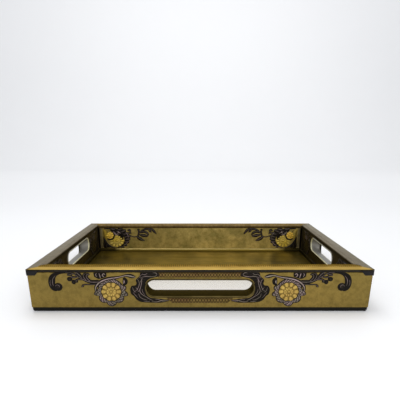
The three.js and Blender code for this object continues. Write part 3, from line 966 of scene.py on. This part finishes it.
def base_board():
    """The black board: rounded corners, a rounded lower edge and countersunk screw holes."""
    high = box_mm("base_board")[1]
    corner, edge = BOARD_CORNER, BOARD_EDGE
    profile = [(0.0, high.z)] + [(edge - x, edge - z) for x, z in arc((0, 0), (edge, edge), 0, 90, 8)]
    loops = []
    for inset, height in profile:
        loop = []
        for side_x, side_y, start in ((1, -1, -90), (1, 1, 0), (-1, 1, 90), (-1, -1, 180)):
            centre = (side_x * (high.x - corner), side_y * (high.y - corner))
            loop += [(x, y, height) for x, y in arc(centre, (corner - inset,) * 2, start, start + 90, 8)]
        loops.append(loop)
    board = new_piece("board", *loft(loops), BASE_BLACK, "base_black", ["base_board"])
    head = box_mm(SCREW_NODES[0])
    radius, face = (head[1].x - head[0].x) / 2 + GAP, head[0].z
    profile = [(radius + 0.4, -1.0), (radius + 0.1, face * 0.5), (radius, face),
               (SCREW_SHANK + GAP, face + SCREW_SINK_HEIGHT), (SCREW_SHANK + GAP, high.z + 1.0)]
    hole, faces = loft(lathe(profile, 28))
    cutters = []
    for node in SCREW_NODES:
        x, y = screw_axis(node)
        cutters.append(([point + Vector((x, y, 0)) for point in hole], faces))
    cut_away(board, "board_holes", cutters)


def base_screws():
    """Countersunk screws with a cross recess, one for each CAD screw."""
    low, high = box_mm(SCREW_NODES[0])
    radius, tip = (high.x - low.x) / 2, high.z
    neck = low.z + SCREW_SINK_HEIGHT
    profile = [(0.01, low.z), (radius - 0.25, low.z), (radius, low.z + 0.15), (SCREW_SHANK, neck)]
    thread_start = neck + 1.0
    pitch = (tip - 3.0 - thread_start) / SCREW_THREADS
    for i in range(SCREW_THREADS):
        start = thread_start + i * pitch
        profile += [(SCREW_ROOT, start), (SCREW_CREST, start + pitch * 0.5), (SCREW_ROOT, start + pitch * 0.9)]
    profile.append((0.01, tip))
    points, faces = loft(lathe(profile, 20))
    width, reach, depth = CROSS_ARM
    cross = []
    for across, along in ((width, reach), (reach, width)):
        section = [(-across, -along), (across, -along), (across, along), (-across, along)]
        bottom = [Vector((x, y, low.z - 1.0)) for x, y in section]
        top = [Vector((x * 0.6, y * 0.6, low.z + depth)) for x, y in section]
        cross.append(loft([bottom, top]))
    for node in SCREW_NODES:
        x, y = screw_axis(node)
        move = Vector((x, y, 0))
        screw = new_piece(node.replace("base_screw", "screw"), [point + move for point in points], faces,
                          SCREW_STEEL, "screw_steel", [node])
        for index, (arm, arm_faces) in enumerate(cross):
            cut_away(screw, f"recess_{index}", [([point + move for point in arm], arm_faces)])


# ---------------------------------------------------------------- ornament

LACE_RAYS = 24
LACE_SPOKES = 264
VEIN_SHARE = 0.3


def flower(relief, centre, radius, petals, stretch=(1.0, 1.0)):
    """An open flower: an outer and an inner row of petals round a knob."""
    def edge(angle):
        return radius * (0.76 + 0.24 * abs(math.cos(petals * angle / 2)) ** 0.7)

    def surface(r, angle):
        outer = abs(math.cos(petals * angle / 2))
        inner = abs(math.sin(petals * angle / 2))
        outer_lift = 0.30 + 0.55 * outer ** 0.5 * math.sin(math.pi * min(1.0, r * 0.92)) ** 0.7
        inner_edge = 0.40 + 0.18 * inner ** 0.5
        inner_lift = 0.95 + 0.35 * inner ** 0.5 * (1 - r / inner_edge) if r < inner_edge else 0.0
        knob = 1.1 + 0.7 * math.sqrt(max(0.0, 1 - (r / 0.17) ** 2)) if r < 0.17 else 0.0
        crease = outer if r >= inner_edge else inner
        shade = 0.08 + 0.92 * min(1.0, 1.15 * crease ** 0.8)
        if abs(r - inner_edge) < 0.05 or 0.15 < r < 0.21:
            shade *= 0.35
        return max(outer_lift, inner_lift, knob), shade * (1 - 0.8 * max(0.0, r - 0.9) / 0.1)

    polar_disc(relief, centre, edge, surface, petals * 18, 30, stretch)


def lace_ring(lace, dark, centre, hole, edge):
    """A ring of fine lace with a dark cord along both of its edges."""
    def net(r, angle):
        ray = 0.5 + 0.5 * math.cos(LACE_RAYS * angle + 3.0 * r)
        row = 0.5 + 0.5 * math.cos(4 * math.pi * r)
        knot = max(ray * row, (1 - ray) * (1 - row))
        return 0.2 + 0.45 * knot, 0.04 + 0.96 * knot ** 1.4

    def cord(r, _):
        return 0.65 * math.sin(math.pi * (0.12 + 0.76 * r)) + 0.1, 0.0

    polar_ring(lace, centre, lambda _: hole, edge, net, LACE_SPOKES, 14)
    polar_ring(dark, centre, lambda angle: edge(angle) - 0.7, lambda angle: edge(angle) + 0.5, cord,
               LACE_SPOKES, 6)
    polar_ring(dark, centre, lambda _: hole - 0.6, lambda _: hole + 0.5, cord, LACE_SPOKES // 2, 6)


def shoots(relief, shapes, height, right=0.0, light=1.0):
    """Stems and leaves, each a ribbon through its knots, moved along the wall."""
    for knots in shapes:
        ribbon(relief, moved(knots, right), height, light=light)


def veins(shapes, share=VEIN_SHARE):
    """A thinner line along the middle of each shape."""
    return [[(x, up, share * width) for x, up, width in knots] for knots in shapes]


def veined(dark, lace, shapes, shift=0.0, light=0.4, vein_light=0.3):
    """Dark stems and leaves with a vein along each."""
    shoots(dark, shapes, 0.75, shift, light)
    shoots(lace, veins(shapes), 0.95, shift, vein_light)


def seeds(relief, shapes, height, shade=0.4):
    """Oval bosses given as (right, up, half width, half height)."""
    for x, up, across, tall in shapes:
        dome(relief, (x, up), (across, tall), height, shade)


# Outer ornament, left half. Knots are (right, up, width), right measured from the wall's middle.
MEDALLION = (-115.6, 28)
MEDALLION_HOLE = 13.2
MEDALLION_EDGE = [
    (-22, 17), (-12, 21.8), (4, 17.4), (18, 20.2), (32, 17), (60, 17.2), (90, 18), (120, 18.4), (150, 18.2),
    (166, 17), (176, 19.4), (188, 22.6), (200, 17), (222, 19.4), (246, 16.4), (270, 20), (294, 16.4),
    (318, 19.4),
]
MEDALLION_STEM = [
    (-136, 28.5, 2.4), (-135.2, 35, 4.4), (-130.6, 40.6, 5.2), (-123.6, 44.4, 5.2), (-115.6, 46.4, 4.8),
    (-107.4, 47.6, 3.6), (-100.4, 49.2, 2.8), (-95.6, 50.4, 3.6), (-90.6, 49.8, 5.4), (-86.6, 48.8, 4.6),
    (-83.6, 48.2, 1.2),
]
STEM_DOTS = [(-134.8, 32.6), (-132.6, 36.6), (-128.6, 40.2), (-123.4, 42.8), (-117.4, 44.4)]
BUD = [(-99, 47.4, 2.4), (-97.2, 43.8, 6.4), (-97.4, 40, 6.2), (-99.4, 37.2, 2.6)]
BUD_LIGHT = [(-98.6, 44.6, 1), (-98.2, 41.8, 2.6), (-99, 39.2, 1)]
TUFT_TOP = [(-137.8, 54.2), (-130.6, 54.8), (-120.8, 54.2)]
TUFT_FOOT = [(-136.8, 48.4), (-130.8, 45.6), (-121, 48.6)]
TUFT_CURLS = [
    [(-128.8, 47, 1), (-129.4, 50, 1.6), (-130.4, 53.2, 1.2)],
    [(-124, 48.4, 0.9), (-126.2, 50.8, 1.6), (-124.6, 53, 1.4), (-122.6, 51.6, 0.9)],
    [(-133.4, 48.6, 0.8), (-134.8, 51.4, 1.3), (-133.6, 53.4, 0.8)],
]
BRANCH = [
    [(-131.2, 41.6, 5.5), (-139, 41.4, 5.5), (-145.2, 42.4, 4.4), (-151.2, 45, 3.4), (-157.2, 48.6, 2.6),
     (-162.6, 52.4, 2.3), (-166.6, 54.2, 1.6)],
    [(-133.8, 38.6, 2.1), (-142, 38, 2), (-149.8, 37.8, 2), (-152.6, 36.2, 2.9), (-152.4, 34.4, 3.1)],
    [(-142.6, 43, 3.4), (-145.8, 46.2, 3.9), (-147, 49.8, 3.9), (-145.4, 52.2, 3.4), (-142.8, 51, 2.6)],
    [(-147.6, 44.4, 3.1), (-150.2, 48, 3.4), (-150.2, 51.6, 3.1), (-147.4, 53.6, 2.3)],
    [(-152.6, 44.6, 2.1), (-157, 45.2, 2.9), (-160.6, 43.4, 3.1), (-159.4, 40.6, 2.1)],
    [(-157.6, 48.8, 1.8), (-163, 47.8, 3.1), (-167, 49.4, 3.1)],
    [(-163.6, 53.6, 2.3), (-168, 51.6, 3.9), (-171.8, 51, 2.6)],
]
BRANCH_LEAVES = [
    [(-152.4, 46.8, 1.8), (-155.2, 50.4, 5), (-158.6, 53.6, 4.2), (-161.6, 55, 1.2)],
    [(-166.4, 54.4, 2), (-170.6, 54.2, 2.6), (-174, 54.6, 1.4)],
]
BRANCH_SEEDS = [(-163.8, 41.4, 2.9, 3.3), (-168.9, 45.4, 3.6, 3.2), (-159.6, 42, 1.6, 1.8)]
HOOK = [
    (-166.6, 54.2, 1.4), (-174, 54.2, 2.2), (-180.6, 53.8, 3), (-186.6, 52, 5.4), (-190.6, 48.4, 8),
    (-192.2, 43.6, 9), (-192.2, 38.8, 8.8), (-190.6, 34.4, 8.4), (-187.6, 32, 7), (-184.6, 32.4, 4),
]
HOOK_BALL = [(-184.4, 34.6, 5.6, 5.6)]
HOOK_LIGHT = [
    [(-187, 50.2, 0.7), (-190.2, 46, 1.3), (-191, 41, 1.2), (-190.2, 36.4, 0.7)],
    [(-193.6, 44.6, 0.6), (-194.2, 40, 1), (-193.2, 35.8, 0.6)],
    [(-187.8, 35.6, 0.7), (-185.6, 37.8, 1.2), (-182.6, 36.4, 1.2), (-183, 33.4, 0.9), (-185.2, 33.4, 0.6)],
]

# Scrolls round the left end of a hand hole, right measured from the end's centre of curvature
CARTOUCHE_OUTER = [
    (6, 54.4), (-2, 54.8), (-11, 54.8), (-18, 54), (-19.2, 49.6), (-24.2, 44.2), (-23.4, 39.6), (-25, 36.8),
    (-29.8, 36), (-32, 31), (-30.8, 24.8), (-27, 21.4), (-24.6, 17.4), (-20, 14.2), (-14, 12.9), (-7, 12.6),
    (1, 12.4), (9, 12.6), (18, 14.8),
]
CARTOUCHE_INNER = [
    (6, 48.8), (0, 47.6), (-6, 45.8), (-9.8, 42.8), (-12, 38.8), (-12.8, 33.6), (-12.2, 27.4), (-9.6, 22.6),
    (-5.2, 19.6), (1, 18.8), (9, 17.8), (18, 16.4),
]
CARTOUCHE_LIGHTS = [
    [(-17.6, 48.4, 0.6), (-16.4, 43, 1.3), (-17.8, 36, 1.1), (-19.4, 29.2, 1.3), (-16.4, 24.4, 1.3),
     (-12.2, 21.6, 1), (-7.2, 18.2, 1.1), (-2.4, 15.8, 0.6)],
    [(-2, 54, 0.6), (1.2, 54.2, 1.3), (3.4, 52.2, 1.4), (1.4, 49.8, 1.3), (-4.6, 48.8, 1.1),
     (-11, 49.4, 1.3), (-17, 47.8, 0.6)],
    [(-14.6, 47.4, 0.6), (-18.6, 41.4, 1), (-20.8, 35, 1.1), (-23.4, 30.4, 1), (-26.6, 28.4, 0.6)],
    [(-28.6, 34.2, 0.6), (-27.8, 30.8, 1.1), (-25.4, 27, 0.6)],
    [(-21, 25.8, 0.6), (-19.6, 21.4, 1.1), (-15.4, 18.2, 1), (-10, 16.4, 0.6)],
    [(-22.4, 45.4, 0.5), (-20.4, 43.2, 1), (-20.2, 39.8, 0.6)],
    [(-9, 53.4, 0.6), (-12.6, 51.6, 1.1), (-15.6, 52.4, 0.6)],
    [(-4, 14.4, 0.6), (1.6, 13.9, 1.3), (6.6, 15.2, 1.4), (11.6, 16.4, 1.4), (17.4, 15.6, 0.6)],
    [(-15, 52.6, 0.5), (-17.6, 50.6, 0.9), (-20.4, 46.4, 0.5)],
    [(-24.6, 34, 0.5), (-22.6, 32, 1), (-20.8, 28, 0.5)],
    [(-28.2, 27.2, 0.5), (-25.2, 23.4, 0.9), (-22.2, 19.4, 0.5)],
    [(-16.4, 31.6, 0.5), (-15.4, 27.4, 0.8), (-13, 24, 0.5)],
    [(-15.2, 15.4, 0.5), (-10.4, 14.4, 0.9), (-6.6, 14.6, 0.5)],
    [(0, 17, 0.5), (5, 17.2, 0.8), (10, 15, 0.8), (14, 14.6, 0.5)],
]
UPPER_FRET = (47.6, 54.4)
LOWER_FRET = (12.4, 19.2)
MIDDLE_FRET = (24, 43)
FRET_PITCH = 3.9
FRET_STEP = 0.4
# Where the scrolls go on a wall without a hand hole, and how far the end walls' medallion moves
NO_GRIP_END = -59.0
END_MEDALLION_SHIFT = 2.5


def fret(relief, half, lower, upper, step_in):
    """A pierced-looking band with corded edges, stepped in at both ends."""
    count = round(2 * half / FRET_STEP)
    along = [-half + 2 * half * i / count for i in range(count + 1)]

    def foot(x):
        t = max(0.0, min(1.0, (abs(x) - half + 7.0) / 5.0))
        return lower + t * t * (3 - 2 * t) * step_in

    def surface(i, v):
        if v < 0.1 or v > 0.9:
            return 0.42, 0.1
        dots = math.cos(2 * math.pi * along[i] / FRET_PITCH) * math.cos(2 * math.pi * (v - 0.5))
        rosette = max(0.0, dots) ** 0.7
        return 0.10 + 0.45 * rosette, 0.15 + 0.6 * rosette

    quilt(relief, [((x, foot(x)), (x, upper)) for x in along], 16, surface)


def cartouche(dark, lace, end):
    """The acanthus mass round one end of a hand hole whose rounding is centred at end."""
    mass(dark, moved(CARTOUCHE_OUTER, end), moved(CARTOUCHE_INNER, end), 0.7, ripples=22)
    shoots(lace, CARTOUCHE_LIGHTS, 0.95, end, light=0.7)


def medallion(gold, lace, dark, shift=0.0):
    """The flower in its lace ring, with the stem that runs over it and the tuft above it."""
    centre = (MEDALLION[0] + shift, MEDALLION[1])
    flower(gold, centre, 13.6, 10)
    lace_ring(lace, dark, centre, MEDALLION_HOLE, outline(MEDALLION_EDGE))
    shoots(dark, [MEDALLION_STEM], 0.7, shift, light=0.0)
    shoots(lace, veins([MEDALLION_STEM], 0.5), 0.85, shift)
    dotted_line(dark, moved(STEM_DOTS, shift), 12, 0.55, 0.95)
    shoots(dark, [BUD], 0.85, shift, light=0.1)
    shoots(lace, [BUD_LIGHT], 0.98, shift)
    mass(dark, moved(TUFT_TOP, shift), moved(TUFT_FOOT, shift), 0.6, ripples=5, light=0.35)
    shoots(lace, TUFT_CURLS, 0.85, shift)


def branch(dark, lace):
    """The branch that runs from the medallion to the hook near the corner, and the hook."""
    veined(dark, lace, BRANCH + BRANCH_LEAVES, light=0.1, vein_light=0.45)
    seeds(dark, BRANCH_SEEDS, 0.9)
    shoots(dark, [HOOK], 0.8, light=0.2)
    seeds(dark, HOOK_BALL, 1.1)
    shoots(lace, HOOK_LIGHT, 1.15, light=0.5)


def build_halves(name, place, slot, **reliefs):
    """Builds the left half of an ornament and its mirror image on the right."""
    for mirror, side in ((False, "left"), (True, "right")):
        for part, (relief, metal) in reliefs.items():
            relief.build(f"{name}_{side}_{part}", place, METAL[metal], slot, mirror)


def outer_ornament(wall):
    """Embossed ornament on the outside of a wall, each half the mirror of the other."""
    dark, lace, gold = Relief(), Relief(), Relief()
    medallion(gold, lace, dark, 0.0 if wall.long else END_MEDALLION_SHIFT)
    if wall.long:
        branch(dark, lace)
    end = -wall.grip.straight if wall.grip else NO_GRIP_END
    cartouche(dark, lace, end)
    build_halves(f"{wall.name}_outer", wall.outer_point, "outer_brass", scrolls=(dark, "scroll_black"),
                 lace=(lace, "lace_grey"), flower=(gold, "flower_gold"))
    frets = Relief()
    fret(frets, -end - 5.0, *UPPER_FRET, 0.0)
    fret(frets, -end - 16.0, *LOWER_FRET, 4.0)
    if not wall.grip:
        fret(frets, -end + 6.0, *MIDDLE_FRET, 3.0)
    frets.build(f"{wall.name}_outer_frets", wall.outer_point, METAL["fret_brass"], "outer_brass")


# Inner ornament, left half, seen from inside the tray
GREAT_FLOWER = (-168, 27.6)
SMALL_FLOWER = (-181.8, 38)
FLOWER_SHADOW = [(-188.4, 33, 1), (-183, 29.6, 3), (-176.4, 31.6, 3.6), (-173.2, 37.6, 3), (-175, 44, 1.2)]
SIDE_LEAF = [
    (-195.6, 50, 3), (-191.6, 46.4, 8.6), (-190.2, 40.6, 9.6), (-189.8, 34.2, 7), (-188.4, 29.4, 1.6),
]
CROWN_STEM = [
    (-194, 52.4, 1.4), (-184, 52, 3), (-173, 51, 4.2), (-163.6, 47.6, 4.4), (-156.4, 42, 4),
    (-151.8, 34.6, 3.6), (-151.4, 26.6, 3.6), (-155.4, 19.6, 3.8), (-161.6, 14.8, 3.2), (-168, 13.2, 1.2),
]
CROWN_LEAVES = [
    [(-168, 49, 4), (-161.6, 50.6, 7.4), (-156, 51.6, 3.2)],
    [(-160, 45, 4.4), (-153.8, 47.2, 8), (-149.4, 48.6, 3.4)],
    [(-155.6, 40.2, 4.4), (-148.8, 41.4, 8.2), (-144, 42.2, 3.8)],
    [(-153.2, 34.6, 4.4), (-145.6, 36, 8), (-140.6, 37, 3.8)],
    [(-152.8, 29.8, 4.4), (-145.4, 30.6, 7.4), (-140.8, 31, 3.4)],
    [(-153.2, 25.2, 4.2), (-147, 24.8, 7.4), (-142.8, 24.6, 3.2)],
    [(-156, 20.2, 4), (-151, 19, 6.6), (-147.2, 18.2, 2.8)],
    [(-162, 15.8, 3.2), (-156.6, 14.8, 4.4), (-152.8, 14, 1.8)],
]
CENTRE_DARK = [
    (-181, 49.6, 3), (-174, 46.6, 8), (-166.6, 44, 11), (-160.4, 39.4, 10), (-157.4, 33, 6),
    (-157.6, 27.4, 2),
]
CORNER_OUTER = [(-195.6, 36), (-195.6, 26), (-195.4, 13.4), (-180, 12.8), (-166, 12.8)]
CORNER_INNER = [(-194.8, 36), (-190.2, 28), (-184.6, 20.4), (-176.6, 15.4), (-166, 13.4)]
CENTRE_SCROLL = [
    (-175.8, 46.8, 1.6), (-173.4, 43.4, 3), (-170, 40.6, 3.4), (-166.4, 41, 3), (-165.4, 44.4, 2.6),
    (-168.4, 46.2, 1.4),
]
CENTRE_LIGHTS = [
    [(-171.8, 45.6, 0.9), (-170.8, 41.4, 2), (-167.4, 38.8, 1.8), (-163.6, 40.2, 1.4)],
    [(-166, 47.6, 0.9), (-163.4, 44.2, 2.4), (-160.2, 42.6, 1.2)],
    [(-150, 45, 0.8), (-146.8, 40.6, 1.8), (-144.6, 35.4, 1.4), (-146.4, 30.2, 0.8)],
    [(-144.8, 26.6, 0.8), (-149, 21.6, 1.8), (-154, 17.2, 0.9)],
    [(-180.4, 52, 0.8), (-176, 51.2, 1.6), (-171.4, 51.2, 0.8)],
]
SPRAY = [
    [(-141.4, 38, 2.2), (-136.4, 35.8, 2.2), (-131.4, 35.2, 2.2), (-126.4, 36.4, 3.2), (-124.2, 41.2, 3.6),
     (-123.6, 46.2, 3.8), (-124.6, 50.6, 4)],
    [(-128.6, 36.8, 2.4), (-123.6, 32.8, 7), (-118.8, 30, 6.2), (-112, 27.4, 1.6)],
    [(-146.6, 47.6, 2), (-142.6, 48.8, 5.6), (-139.8, 46.2, 2)],
    [(-145, 43.6, 2), (-141.4, 43.6, 4.6), (-138.8, 41.4, 1.4)],
    [(-124, 43.6, 2.4), (-119, 45, 4.8), (-112.4, 45.4, 4.8), (-106.6, 42.8, 4.6), (-104.2, 38.4, 2.4)],
    [(-124, 40, 1.8), (-119, 39, 5), (-112, 37.6, 6.6), (-104.6, 36.8, 2.4)],
    [(-120.6, 45.6, 2), (-116.2, 48.8, 4), (-109.6, 51, 4.6), (-102.4, 51.6, 4.4), (-96.6, 50, 5),
     (-92.8, 46.2, 5.2), (-88.2, 40.8, 1.4)],
    [(-104.4, 51, 2), (-101.6, 47.6, 4.6), (-97.6, 44.4, 1.4)],
]
SPRAY_SEEDS = [(-124.2, 49.8, 2.4, 2.2)]


def inner_ornament(wall):
    """Embossed ornament on the inside of a wall: flowers in a leafy crown, and a spray of leaves."""
    dark, lace, gold, matte = Relief(), Relief(), Relief(), Relief()
    shift = 0.0 if wall.long else HALF_LENGTH - HALF_WIDTH
    flower(matte, (GREAT_FLOWER[0] + shift, GREAT_FLOWER[1]), 15.6, 12, (1.0, 0.86))
    shoots(dark, [FLOWER_SHADOW], 1.35, shift, light=0.0)
    flower(gold, (SMALL_FLOWER[0] + shift, SMALL_FLOWER[1]), 7.6, 8)
    shoots(matte, [SIDE_LEAF], 0.6, shift, light=0.45)
    mass(dark, moved(CORNER_OUTER, shift), moved(CORNER_INNER, shift), 0.7, ripples=6, light=0.45)
    shoots(dark, [CROWN_STEM], 0.9, shift, light=0.4)
    veined(dark, lace, CROWN_LEAVES, shift, vein_light=0.35)
    shoots(dark, [CENTRE_DARK], 1.0, shift, light=0.0)
    shoots(lace, [CENTRE_SCROLL], 1.5, shift, light=0.5)
    shoots(lace, CENTRE_LIGHTS, 1.6, shift, light=0.7)
    if wall.long:
        veined(dark, lace, SPRAY)
        seeds(dark, SPRAY_SEEDS, 0.9)
    # painted shade: the end walls' flowers take the dark copy of the gold
    small, great = ("inner_gold", "old_gold") if wall.long else ("dark_gold", "dark_gold")
    build_halves(f"{wall.name}_inner", wall.inner_point, "inner_brass", scrolls=(dark, "scroll_black"),
                 lace=(lace, "lace_grey"), flower=(gold, small), great_flower=(matte, great))


# ---------------------------------------------------------------- stage, light and camera


# The sweep in metres: its half width, its front and back edges, its bend's radius and its height
SWEEP_HALF, SWEEP_FRONT, SWEEP_BACK, SWEEP_BEND, SWEEP_RISE = 6.0, -5.0, 3.0, 1.5, 4.0


def studio_surface():
    """A pale sweep: the floor, which rises behind the tray into a backdrop."""
    profile = [(SWEEP_FRONT, 0.0), (SWEEP_BACK, 0.0)]
    profile += arc((SWEEP_BACK, SWEEP_BEND), (SWEEP_BEND, SWEEP_BEND), -90, 0, 16)
    profile.append((SWEEP_BACK + SWEEP_BEND, SWEEP_RISE))
    points = [(x, y, z) for y, z in profile for x in (-SWEEP_HALF, SWEEP_HALF)]
    faces = [(2 * i, 2 * i + 1, 2 * i + 3, 2 * i + 2) for i in range(len(profile) - 1)]
    mesh = new_mesh("sweep", points, faces, unit=1.0)
    mesh.shade_smooth()
    finish = Finish("sweep_paint", 0.0, (0.905, 0.905, 0.91))
    clouds = finish.noise(1.5, 3.0)
    finish.cover((0.925, 0.925, 0.93), clouds)
    mesh.materials.append(finish.close(finish.span(clouds, 0.3, 0.7, 0.5, 0.6)))
    link_new("sweep", mesh)


def area_light(name, place, target, size, watts):
    lamp = bpy.data.lights.new(name, "AREA")
    lamp.shape = "RECTANGLE"
    lamp.size, lamp.size_y = size
    lamp.energy = watts
    light = link_new(name, lamp)
    light.location = place
    light.rotation_mode = "QUATERNION"
    light.rotation_quaternion = (Vector(place) - Vector(target)).to_track_quat("Z", "Y")


def light_studio():
    """A pale surround, and soft boxes overhead, in front and for the backdrop."""
    world = bpy.data.worlds.new("studio")
    bpy.context.scene.world = world
    world.use_nodes = True
    background = world.node_tree.nodes["Background"]
    background.inputs["Color"].default_value = (0.95, 0.97, 1.0, 1.0)
    background.inputs["Strength"].default_value = 0.70
    area_light("overhead_box", (-0.2, 0.1, 1.6), (0, 0, 0), (1.0, 0.8), 8.5)
    area_light("front_box", (0.4, -1.8, 1.0), (0, 0, 0.03), (1.4, 0.9), 18)
    area_light("backdrop_box", (0, 1.6, 2.6), (0, 4.2, 0.9), (4.0, 1.0), 36)
    bpy.context.scene.view_settings.view_transform = "Standard"


# The camera's place in metres from the tray's front and top, its tilt in degrees and its lens
CAMERA_IN_FRONT = 0.4735
CAMERA_ABOVE = 0.1542
CAMERA_TILT = 7.838
CAMERA_LENS = 34.31


def set_camera():
    """The camera stands in front of the tray, a little above the rim."""
    data = bpy.data.cameras.new("camera")
    data.lens = CAMERA_LENS
    camera = link_new("camera", data)
    camera.location = (0, CAD_BOX[0].y - CAMERA_IN_FRONT, CAD_BOX[1].z + CAMERA_ABOVE)
    camera.rotation_euler = (math.radians(90 - CAMERA_TILT), 0, 0)
    bpy.context.scene.camera = camera


dress_cad_nodes()
for wall in WALLS:
    rim_cap(wall)
    rim_reeds(wall)
    floor_bead(wall)
    if wall.grip:
        grip_liner(wall)
    outer_ornament(wall)
    inner_ornament(wall)
for corner in CORNERS:
    corner_cap(corner)
    corner_strip(corner)
base_board()
base_screws()
studio_surface()
light_studio()
set_camera()
